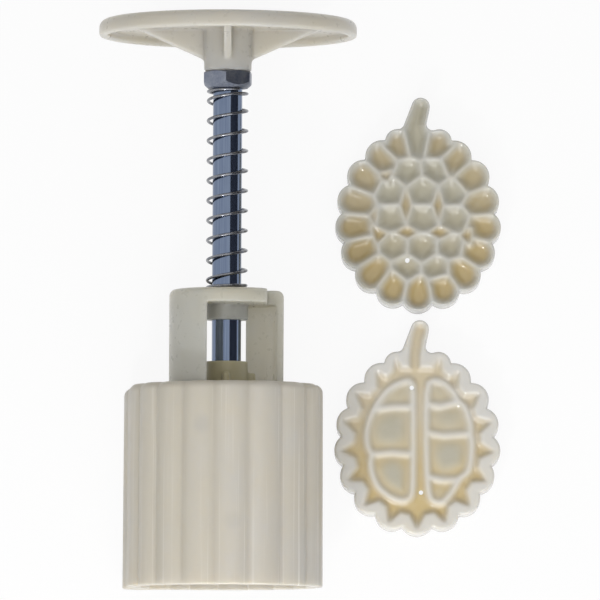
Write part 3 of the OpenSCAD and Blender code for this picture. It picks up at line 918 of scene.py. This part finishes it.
class PRESS_OT_rod(bpy.types.Operator):
    """Bright steel rod"""

    bl_idname = "press.rod"
    bl_label = "Rod"

    def execute(self, context):
        metal, colours = context.scene.press_metal, context.scene.press_colours
        bright = drawn_metal("drawn rod", colours.rod, roughness=0.1)
        low, high = stations("rod")
        cut = metal.rod_chamfer
        profile = [
            (metal.rod - cut, low),
            (metal.rod, low + cut),
            (metal.rod, high - cut),
            (metal.rod - cut, high),
        ]
        sides = 128
        angles = np.arange(sides) * 2 * pi / sides
        round_edge = np.column_stack([np.cos(angles), np.sin(angles)])
        rings = [at_height(radius * round_edge, z) for radius, z in profile]
        role = ("rod", "plunger", "rod_steel")
        make_piece("steel_rod", stacked(rings), PRESS, role, bright)
        return {"FINISHED"}


class PRESS_OT_fasteners(bpy.types.Operator):
    """Hexagon lock nut and the plunger's screw"""

    bl_idname = "press.fasteners"
    bl_label = "Lock nut and screw"

    def execute(self, context):
        metal, colours = context.scene.press_metal, context.scene.press_colours
        zinc = drawn_metal("zinc plate", colours.nut, roughness=0.42, streak=2, drawn=0.6)
        rings = nut_rings(metal, *stations("lock_nut"))
        role = ("lock_nut", "plunger", "zinc_steel")
        make_piece("hexagon_nut", stacked(rings, looped=True), PRESS, role, zinc, sharp=24)
        screw = frame["nodes"]["plunger_screw"]
        screw.data.materials.clear()
        screw.data.materials.append(zinc)
        return {"FINISHED"}


class PRESS_OT_spring(bpy.types.Operator):
    """Return spring between the tower's roof and the lock nut"""

    bl_idname = "press.spring"
    bl_label = "Return spring"

    def execute(self, context):
        metal, colours = context.scene.press_metal, context.scene.press_colours
        steel = drawn_metal("spring wire", colours.wire, roughness=0.24, streak=0.3, drawn=0.3)
        _, roof = stations("guide_tower")
        seat, _ = stations("lock_nut")
        coil = stacked(tube_rings(spring_path(metal, roof, seat), metal.wire / 2))
        role = ("spring", "barrel", "spring_steel")
        spring = make_piece("return_spring", coil, PRESS, role, steel)
        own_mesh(spring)
        return {"FINISHED"}


# ---- Stamps ----


def distance_to_line(line, spots):
    """Distance from each spot to an open line of straight pieces."""
    nearest = np.full(len(spots), np.inf)
    for start, end in zip(line, line[1:]):
        way = end - start
        along = np.clip(((spots - start) @ way) / (way @ way), 0, 1)
        gap = spots - start - along[:, None] * way
        nearest = np.minimum(nearest, (gap**2).sum(1))
    return np.sqrt(nearest)


def distance_to(outline, spots):
    """Distance from each spot to a closed outline of straight pieces."""
    return distance_to_line(np.vstack([outline, outline[:1]]), spots)


def inside(outline, spots):
    """Whether each spot lies inside a closed outline."""
    hits = np.zeros(len(spots), bool)
    for (x0, y0), (x1, y1) in zip(outline, np.roll(outline, -1, axis=0)):
        if y0 == y1:
            continue
        crosses = (y0 > spots[:, 1]) != (y1 > spots[:, 1])
        at = x0 + (spots[:, 1] - y0) * (x1 - x0) / (y1 - y0)
        hits ^= crosses & (spots[:, 0] < at)
    return hits


def signed_distance(outline, spots):
    """Distance inside a closed outline, negative outside it."""
    return distance_to(outline, spots) * np.where(inside(outline, spots), 1, -1)


def circle(centre, radius, count):
    return np.array(arc(centre, radius, 0, 2 * pi - 1e-9, count))


def flat_mesh(edge, holes, spacing, inner_loops=()):
    """Points and triangles of a flat face inside an edge and outside its holes.

    The edge's points come first, then the points of each hole."""
    low, high = edge.min(0), edge.max(0)
    row_gap = spacing * sqrt(3) / 2
    clear = 0.55 * spacing
    grid = np.array(
        [
            (low[0] + (k + 0.5 * (row % 2)) * spacing, low[1] + row * row_gap)
            for row in range(int((high[1] - low[1]) / row_gap) + 1)
            for k in range(int((high[0] - low[0]) / spacing) + 1)
        ]
    )
    grid = grid[inside(edge, grid)]
    loops = [edge, *holes, *inner_loops]
    for loop in loops:
        grid = grid[distance_to(loop, grid) > clear]
    for hole in holes:
        grid = grid[~inside(hole, grid)]
    points = np.vstack([*loops, grid])
    lines, first = [], 0
    for loop in loops:
        lines += [(first + k, first + (k + 1) % len(loop)) for k in range(len(loop))]
        first += len(loop)
    made = delaunay_2d_cdt([Vector(p) for p in points], lines, [], 0, 1e-9)
    spots = np.array([tuple(v) for v in made[0]])
    if len(spots) != len(points):
        raise RuntimeError("two points of a flat face coincide")
    faces = np.array([tuple(f) for f in made[2]])
    middles = spots[faces].mean(1)
    keep = inside(edge, middles)
    for hole in holes:
        keep &= ~inside(hole, middles)
    return spots, faces[keep]


def soft_min(a, b, width):
    """The smaller of two distances, with the crease between them rounded."""
    h = np.clip(0.5 + 0.5 * (b - a) / width, 0, 1)
    return b * (1 - h) + a * h - width * h * (1 - h)


def smooth(value):
    """An even rise from 0 to 1 that starts and ends level."""
    value = np.clip(value, 0, 1)
    return value * value * (3 - 2 * value)


def evened(values, faces, rounds):
    """Values at points, evened out between neighbours a number of times."""
    sides = np.vstack([faces[:, (0, 1)], faces[:, (1, 2)], faces[:, (2, 0)]])
    here, there = np.vstack([sides, sides[:, ::-1]]).T
    count = np.maximum(np.bincount(here, minlength=len(values)), 1)
    for _ in range(rounds):
        around = np.bincount(here, weights=values[there], minlength=len(values)) / count
        values = (values + around) / 2
    return values


def loop_through(corners, per_side=8):
    """A smooth closed line through corners given in millimetres."""
    spots = np.array(corners) * MM
    before, after, later = (np.roll(spots, k, axis=0) for k in (1, -1, -2))
    steps = [k / per_side for k in range(per_side)]
    parts = [
        0.5
        * (
            2 * spots
            + (after - before) * t
            + (2 * before - 5 * spots + 4 * after - later) * t**2
            + (3 * spots - before - 3 * after + later) * t**3
        )
        for t in steps
    ]
    return np.stack(parts, axis=1).reshape(-1, 2)


# Middles of the spine cells on the fruit's face, (x, y) in millimetres from its middle
SPINE_CELLS = [
    (-0.9, 27.2), (-4.0, 18.4), (6.4, 18.8), (-9.9, 11.0), (1.6, 11.0), (12.7, 11.0),
    (-9.6, 1.5), (1.6, 1.6), (13.2, 1.4), (-8.4, -7.8), (1.3, -8.2), (11.8, -8.0),
    (-4.1, -16.2), (6.6, -16.4),
]
# Corners of the small deep cells where the spine cells leave a gap, in millimetres
SMALL_CELLS = [
    [(-4.2, 11.4), (-5.7, 6.2), (-4.1, 1.0), (-2.8, 6.2)],
    [(7.0, 11.2), (5.5, 6.1), (7.2, 1.3), (8.2, 6.2)],
    [(-3.8, -1.4), (-7.2, -3.3), (-3.8, -5.0), (-0.6, -3.3)],
    [(7.3, -1.4), (4.1, -3.4), (7.6, -5.1), (11.0, -3.3)],
    [(-13.2, 16.6), (-10.8, 14.7), (-9.4, 17.9)],
    [(-14.2, 5.3), (-16.3, 2.2), (-14.9, -0.4)],
    [(-15.9, -1.2), (-14.1, -6.9), (-10.9, -3.7)],
    [(18.1, -2.0), (14.9, -4.2), (17.9, -6.9)],
]


def closeness(gap):
    """Grows as a gap closes. The sum over several gaps rounds the creases between them."""
    return np.maximum(gap, 0.02 * MM) ** -3.0


def cell_edges(spots, cells):
    """Nearest cell of each spot, and the spot's closeness to all of that cell's edges."""
    squares = ((spots[:, None, :] - cells[None]) ** 2).sum(2)
    nearest = squares.argmin(1)
    own = squares[np.arange(len(spots)), nearest]
    gaps = np.hypot(*(cells[:, None, :] - cells[None]).transpose(2, 0, 1))
    close = np.zeros(len(spots))
    for k in range(len(cells)):
        other = nearest != k
        apart = 2 * gaps[nearest[other], k]
        close[other] += closeness((squares[other, k] - own[other]) / apart)
    return nearest, close


def stem_channel(fruit, spots, foot, half_width, slope):
    """How far a channel along the stem is cut at each spot, from 0 to 1."""
    lean = fruit.stem_lean
    tip = fruit.stem_reach - fruit.stem_tip / 2
    line = np.array(
        [
            (-0.5 * lean, foot),
            (-0.6 * lean, fruit.high - 2 * MM),
            (-0.2 * lean, (fruit.high + tip) / 2),
            (0.4 * lean, tip),
        ]
    )
    return smooth((half_width - distance_to_line(line, spots)) / slope)


def lower_down(spots, start, reach, most):
    """How much more painted golden shade the hollows take at each spot, towards the bottom of the fruit."""
    return np.clip((start - spots[:, 1]) / reach, 0, most)


# The skin stamp's small cells: half of the ridge round them, where their slope starts, how
# wide it is, and how deep they are as a share of a spine cell
SMALL_RIDGE = 0.3 * MM
SMALL_LEAD = 0.6 * MM
SMALL_SLOPE = 1.5 * MM
SMALL_DEPTH = 0.5
# How much painted golden and grey shade the skin stamp's parts take
LOBE_GOLDEN_SHADE = 0.75
SPINE_GOLDEN_SHADE = 0.16
SMALL_GOLDEN_SHADE = 2
STEM_GOLDEN_SHADE = 0.15
LOBE_GREY_SHADE = 0.3
SPINE_GREY_SHADE = 0.85
STEM_GREY_SHADE = 0.6


def skin_relief(scene, spots, rim_distance):
    """Depth of the skin stamp's face at each spot, and its painted golden and grey shade."""
    fruit, stamps = scene.press_fruit, scene.press_stamps
    lobes = np.array(fruit_rounds(fruit)[:-1])[:, :2] * stamps.lobe_pits
    drop = np.array((0, stamps.skin_drop))
    cells = np.vstack([lobes, np.array(SPINE_CELLS) * MM - drop])
    nearest, close = cell_edges(spots, cells)
    small = np.full(len(spots), -np.inf)
    for corners in SMALL_CELLS:
        small = np.maximum(small, signed_distance(np.array(corners) * MM - drop, spots))
    close += closeness(-small - SMALL_RIDGE) + closeness(rim_distance - stamps.rim)
    edge = close ** (-1 / 3)
    uneven = np.random.default_rng(7).uniform(0.9, 1.05, len(cells))
    big = smooth(edge / stamps.cell_wall) * uneven[nearest]
    pit = smooth((small + SMALL_LEAD) / SMALL_SLOPE) * SMALL_DEPTH
    relief = stamps.cell_depth * np.maximum(pit, big)

    # Painted shade: golden and grey in the cells, growing with their depth and kept off the rim
    in_lobe = nearest < len(lobes)
    low = lower_down(spots, 8 * MM, 40 * MM, 0.35)
    floor = smooth(edge / stamps.tone_wall)
    off_rim = smooth((rim_distance - 0.6 * MM) / (2.8 * MM))
    golden_shade = floor * np.where(in_lobe, (LOBE_GOLDEN_SHADE + low) * off_rim, SPINE_GOLDEN_SHADE + 0.5 * low)
    golden_shade = np.maximum(golden_shade, (SMALL_GOLDEN_SHADE + low) * pit)
    dull = floor * np.where(in_lobe, LOBE_GREY_SHADE * off_rim, SPINE_GREY_SHADE)
    channel = stem_channel(fruit, spots, 27 * MM, 2.7 * MM, 1.7 * MM)
    relief = np.maximum(relief, stamps.stem_depth * channel)
    golden_shade = np.maximum(golden_shade, STEM_GOLDEN_SHADE * channel)
    dull = np.maximum(dull, STEM_GREY_SHADE * channel)
    return relief, golden_shade, dull


# Outer edge of each pod, and the ridges that part its segments, in millimetres
LEFT_POD = [
    (-4.6, 24.0), (-10.2, 21.2), (-13.9, 16.9), (-16.1, 13.2), (-17.8, 9.0), (-18.6, 4.6),
    (-18.2, 0.2), (-17.0, -2.5), (-17.2, -5.0), (-16.6, -9.4), (-14.4, -14.1), (-10.9, -17.3),
    (-7.0, -19.1), (-3.4, -19.2), (-0.7, -16.0), (-0.3, -5.0), (-0.3, 9.0), (-0.5, 20.2),
    (-1.6, 23.4),
]
RIGHT_POD = [
    (4.5, 23.9), (2.4, 20.6), (1.9, 9.0), (2.1, -5.0), (2.9, -15.9), (5.0, -19.4), (8.7, -19.9),
    (11.6, -17.7), (14.0, -14.1), (15.5, -11.5), (18.4, -8.8), (19.5, -4.8), (19.9, 1.0),
    (19.5, 5.3), (19.0, 9.6), (17.2, 14.6), (14.8, 17.0), (12.8, 20.4), (8.8, 23.6),
]
POD_RIDGES = [
    [(-16.5, 13.0), (-9.0, 13.9), (-0.5, 14.1)],
    [(-17.2, -2.6), (-9.0, -1.8), (-0.5, -2.4)],
    [(2.0, 15.2), (8.0, 14.3), (14.8, 16.2)],
    [(2.0, 5.4), (9.0, 4.2), (19.4, 5.0)],
    [(2.0, -9.8), (9.0, -11.2), (15.0, -11.0)],
]


def star_outline(fruit, stamps):
    """Outline of the deep floor, with a point into each lobe and blunt teeth between."""
    lobes = [Vector(r) for r in fruit_rounds(fruit)[:-1]]
    points = []
    for this, after in zip(lobes, lobes[1:] + [None]):
        out = this.to_2d().normalized()
        points.append(this.to_2d() + out * (this.z - stamps.star_margin))
        if after is not None:
            middle = (this + after).to_2d() / 2
            inner = middle - middle.normalized() * stamps.tooth_reach
            side = (after - this).to_2d().normalized() * stamps.tooth_half
            points += [inner - side, inner + side]
    top = fruit.high - 6 * MM
    return np.array([*points, (5.2 * MM, top), (-5.6 * MM, top)])


# How much painted golden and grey shade the section stamp's parts take
FLOOR_GOLDEN_SHADE = 0.62
POD_GOLDEN_SHADE = 0.45
DOME_GOLDEN_SHADE = 0.05
POD_GREY_SHADE = 0.6
# Widths over which a pod's ridges blend into its rim and its floor rises to its dome
RIDGE_BLEND = 0.9 * MM
DOME_WIDTH = 4.5 * MM


def section_relief(scene, spots, rim_distance):
    """Depth of the section stamp's face at each spot, and its painted golden and grey shade."""
    fruit, stamps = scene.press_fruit, scene.press_stamps
    floor = signed_distance(star_outline(fruit, stamps), spots)
    cut = smooth((floor + 0.7 * MM) / stamps.star_wall)
    # Painted golden shade on the deep floor, setting in over the tone wall
    tone = smooth((floor + 0.9 * MM) / stamps.tone_wall)
    channel = stem_channel(fruit, spots, 24 * MM, 2.2 * MM, 1.5 * MM)
    relief = np.maximum(stamps.star_depth * cut, stamps.stem_depth * channel)
    low = lower_down(spots, 10 * MM, 45 * MM, 0.4)
    golden_shade = np.maximum((FLOOR_GOLDEN_SHADE + low) * tone, FLOOR_GOLDEN_SHADE * channel)

    drop = np.array((0, stamps.pods_drop))
    pods = [loop_through(LEFT_POD) - drop, loop_through(RIGHT_POD) - drop]
    in_pod = np.maximum(*(signed_distance(pod, spots) for pod in pods))
    edge = broad = in_pod - stamps.pod_rim
    for ridge in POD_RIDGES:
        gap = distance_to_line(np.array(ridge) * MM - drop, spots) - 0.3 * stamps.pod_rim
        edge = soft_min(edge, gap, RIDGE_BLEND)
        broad = soft_min(broad, gap, DOME_WIDTH)
    wall = smooth((edge + 0.5 * MM) / stamps.pod_wall)
    dome = smooth((broad - 0.2 * MM) / DOME_WIDTH)
    depth = stamps.pod_rim_depth + (stamps.pod_depth - stamps.pod_rim_depth) * wall
    depth -= stamps.pod_dome * dome
    on_pod = smooth((in_pod + 1.1 * MM) / (2 * MM))
    relief = relief * (1 - on_pod) + depth * on_pod
    # Painted shade in the pods: golden near their walls, grey over their domes
    pod_golden_shade = DOME_GOLDEN_SHADE + (POD_GOLDEN_SHADE + low) * (1 - dome)
    golden_shade = golden_shade * (1 - on_pod) + on_pod * wall * pod_golden_shade
    dull = on_pod * wall * (POD_GREY_SHADE + (1 - POD_GREY_SHADE) * dome)
    return relief, np.clip(golden_shade, 0, 1), dull


# How many times a stamp's relief and its painted shade are evened out between neighbours
RELIEF_ROUNDS = 8
TONE_ROUNDS = 14
VENT_SIDES = 20


def stamp_face(scene, shell, holes, relief):
    """Adds a stamp's face with its relief, and gives its painted golden and grey shade."""
    fruit, stamps = scene.press_fruit, scene.press_stamps
    edge = fruit_outline(fruit, -stamps.rim_edge * 0.04)
    loops = [fruit_outline(fruit, -inward) for inward, _ in edge_steps(stamps.rim_edge, 6)[1:]]
    spots, triangles = flat_mesh(edge, holes, stamps.mesh, loops)
    rim_distance = distance_to(fruit_outline(fruit, 0), spots)
    fields = zip(relief(scene, spots, rim_distance), (RELIEF_ROUNDS, TONE_ROUNDS, TONE_ROUNDS))
    depth, golden_shade, dull = (evened(field, triangles, rounds) for field, rounds in fields)
    depth *= smooth(rim_distance / stamps.rim_edge)
    inward = np.clip(stamps.rim_edge - rim_distance, 0, stamps.rim_edge)
    edge_drop = stamps.rim_edge - np.sqrt(np.maximum(stamps.rim_edge**2 - inward**2, 0))
    shell.ring(at_height(spots, stamps.thickness - depth - edge_drop))
    shell.faces += triangles.tolist()
    return golden_shade, dull


def stamp_parts(scene, relief, vents):
    """Skin of a whole stamp, back down at z = 0, and the tones of its painted shade."""
    fruit, stamps = scene.press_fruit, scene.press_stamps
    shell = Shell()
    holes = [circle((x * MM, y * MM), stamps.vent, VENT_SIDES) for x, y in vents]
    feet = [circle((x * MM, y * MM), stamps.vent_foot, VENT_SIDES) for x, y in vents]
    golden_shade, dull = stamp_face(scene, shell, holes, relief)

    levels = [(0, stamps.thickness - stamps.rim_edge), (0, stamps.thickness / 2)]
    levels += [(-inward, drop) for inward, drop in edge_steps(stamps.back_edge, 3)]
    above = 0
    for grow, z in levels:
        ring = at_height(fruit_outline(fruit, grow), z)
        below = shell.ring(ring)
        shell.wall(above, below, len(ring))
        above = below

    socket = circle((0, 0), stamps.socket, 72)
    roof = at_height(socket, stamps.socket_depth)
    socket_edge, *foot_starts = shell.lid(above, ring, [socket, *feet], stamps.back_mesh)
    roof_edge = shell.ring(roof)
    shell.wall(roof_edge, socket_edge, len(socket))
    shell.lid(roof_edge, roof, [], stamps.back_mesh)

    upper = len(ring)
    for lower in foot_starts:
        shell.wall(upper, lower, VENT_SIDES)
        upper += VENT_SIDES
    rest = np.zeros(shell.total - len(golden_shade))
    return shell, [("recess", np.append(golden_shade, rest)), ("dull", np.append(dull, rest))]


def make_stamp(context, name, node, finish, relief, vents):
    """One stamp, laid where its socket's mount is."""
    scene = context.scene
    colours = scene.press_colours
    shell, tones = stamp_parts(scene, relief, vents)
    socket = mount(node + "_socket")
    lay = Matrix.Translation((socket.x, socket.y, 0))
    # The dim and deep colours paint shade into the stamp's hollows
    plastic = moulded_plastic(
        name.replace("_", " ") + " plastic",
        getattr(colours, finish),
        getattr(colours, finish + "_deep"),
        dim=getattr(colours, finish + "_dim"),
        gloss=0.14,
        glow=0.6,
        reach=2.5,
    )
    role = (node, node, "stamp_plastic")
    make_piece(name, shell, lay, role, plastic, sharp=60, tones=tones)


class PRESS_OT_stamps(bpy.types.Operator):
    """Skin stamp and section stamp"""

    bl_idname = "press.stamps"
    bl_label = "Face stamps"

    def execute(self, context):
        vent = [(-3.7, -13.6)]
        make_stamp(context, "whole_fruit_stamp", "skin_stamp", "skin", skin_relief, vent)
        vents = [(-2, 19.6), (1.3, -16.5)]
        make_stamp(context, "cut_fruit_stamp", "section_stamp", "section", section_relief, vents)
        return {"FINISHED"}


# ---- Studio ----


def lamp(name, place, aim, size, power, tint):
    """A soft square lamp that faces a point."""
    data = bpy.data.lights.new(name, "AREA")
    data.shape = "SQUARE"
    data.size = size
    data.energy = power
    data.color = tint
    made = placed(name, data)
    made.location = place
    made.rotation_euler = (aim - Vector(place)).to_track_quat("-Z", "Y").to_euler()
    return made


def studio_world(strength):
    """White backdrop over a softer sky that lights the press."""
    world = bpy.data.worlds.new("studio")
    bpy.context.scene.world = world
    world.use_nodes = True
    paint = Paint(world.node_tree)
    sky = paint.node("Background", {"Color": (0.98, 0.99, 1.0, 1), "Strength": strength})
    white = paint.node("Background", {"Color": WHITE})
    mixed = paint.seen_apart(sky.outputs["Background"], white.outputs["Background"])
    paint.node("OutputWorld", {"Surface": mixed})


def floor_material():
    """Pale floor that reads as white and still holds a faint shadow."""
    material, paint = new_material("floor")
    lit = paint.node("BsdfDiffuse", {"Color": (0.9, 0.9, 0.9, 1)}).outputs["BSDF"]
    white = paint.node("Emission", {"Color": WHITE}).outputs["Emission"]
    paint.node("OutputMaterial", {"Surface": paint.seen_apart(lit, white, 0.9)})
    return material


def sheet(name, corners, material):
    """A flat piece of the studio."""
    mesh = bpy.data.meshes.new(name)
    mesh.from_pydata(corners, [], [(0, 1, 2, 3)])
    mesh.materials.append(material)
    made = placed(name, mesh)
    return made


def dark_flag(heading, spread, distance=1.2, reach=3.0):
    """A dark flag on the right that only mirrors show, for the rod's dark strip."""
    away = Vector((sin(heading), 0, cos(heading))) * distance
    side = Vector((cos(heading), 0, -sin(heading))) * distance * tan(spread / 2)
    along = Vector((0, reach / 2, 0))
    corners = [away - side - along, away + side - along, away + side + along, away - side + along]
    cloth, paint = new_material("flag cloth")
    paint.principled({"Base Color": (0.13, 0.13, 0.15, 1), "Roughness": 1})
    flag = sheet("flag", corners, cloth)
    flag.visible_camera = False
    flag.visible_diffuse = False
    flag.visible_shadow = False


# Where each lamp hangs and how wide it is, in metres
KEY_PLACE = (0.05, -0.72, 0.48)
KEY_WIDTH = 0.6
TOP_PLACE = (0, -0.2, 1.0)
TOP_WIDTH = 0.5
GLINT_PLACE = (-0.16, -0.46, 0.42)
GLINT_WIDTH = 0.06
# Half of the floor's width, and the floor's gap under the set
FLOOR_REACH = 3.0
FLOOR_GAP = 0.1 * MM


class PRESS_OT_studio(bpy.types.Operator):
    """Floor, light and camera"""

    bl_idname = "press.studio"
    bl_label = "Studio"

    def execute(self, context):
        scene = context.scene
        studio = scene.press_studio
        scene.view_settings.view_transform = "Standard"
        signs = ((-1, -1), (1, -1), (1, 1), (-1, 1))
        corners = [(FLOOR_REACH * x, FLOOR_REACH * y, 0) for x, y in signs]
        sheet("floor", corners, floor_material()).location.z = -FLOOR_GAP
        studio_world(studio.sky)
        aim = Vector((studio.aim_x, studio.aim_y, studio.aim_z))
        dark_flag(studio.flag_turn, studio.flag_spread)
        lamp("key", KEY_PLACE, aim, KEY_WIDTH, studio.key, (1.0, 0.99, 0.98))
        top = lamp("top", TOP_PLACE, aim, TOP_WIDTH, studio.top, WHITE[:3])
        top.visible_glossy = False
        lamp("glint", GLINT_PLACE, aim, GLINT_WIDTH, studio.glint, WHITE[:3])

        data = bpy.data.cameras.new("camera")
        data.sensor_width = 36
        data.lens = data.sensor_width * studio.distance / studio.view_width
        data.clip_end = 20
        camera = placed("camera", data)
        back = Vector((0, -cos(studio.elevation), sin(studio.elevation)))
        camera.location = aim + back * studio.distance
        look = (-back).to_track_quat("-Z", "Y").to_matrix().to_4x4()
        camera.rotation_euler = (look @ Matrix.Rotation(studio.roll, 4, "Z")).to_euler()
        scene.camera = camera
        return {"FINISHED"}


# ---- Panel and running ----

OPERATORS = (
    PRESS_OT_studio,
    PRESS_OT_barrel,
    PRESS_OT_mouldings,
    PRESS_OT_rod,
    PRESS_OT_fasteners,
    PRESS_OT_spring,
    PRESS_OT_stamps,
)


class PRESS_PT_pieces(bpy.types.Panel):
    """Buttons that build each piece of the press"""

    bl_idname = "PRESS_PT_pieces"
    bl_label = "Mooncake Press"
    bl_space_type = "VIEW_3D"
    bl_region_type = "UI"
    bl_category = "Press"

    def draw(self, context):
        for operator in OPERATORS:
            self.layout.operator(operator.bl_idname)
        for name in GROUPS:
            box = self.layout.box()
            group = getattr(context.scene, name)
            box.label(text=name.removeprefix("press_").capitalize())
            for key in GROUPS[name].__annotations__:
                box.prop(group, key)


def register():
    for name, group in GROUPS.items():
        bpy.utils.register_class(group)
        setattr(bpy.types.Scene, name, PointerProperty(type=group))
    for operator in OPERATORS:
        bpy.utils.register_class(operator)
    bpy.utils.register_class(PRESS_PT_pieces)


def unregister():
    bpy.utils.unregister_class(PRESS_PT_pieces)
    for operator in reversed(OPERATORS):
        bpy.utils.unregister_class(operator)
    for name, group in reversed(list(GROUPS.items())):
        delattr(bpy.types.Scene, name)
        bpy.utils.unregister_class(group)


def main():
    register()
    for operator in OPERATORS:
        _, step = operator.bl_idname.split(".")
        getattr(bpy.ops.press, step)()


if __name__ == "__main__":
    main()
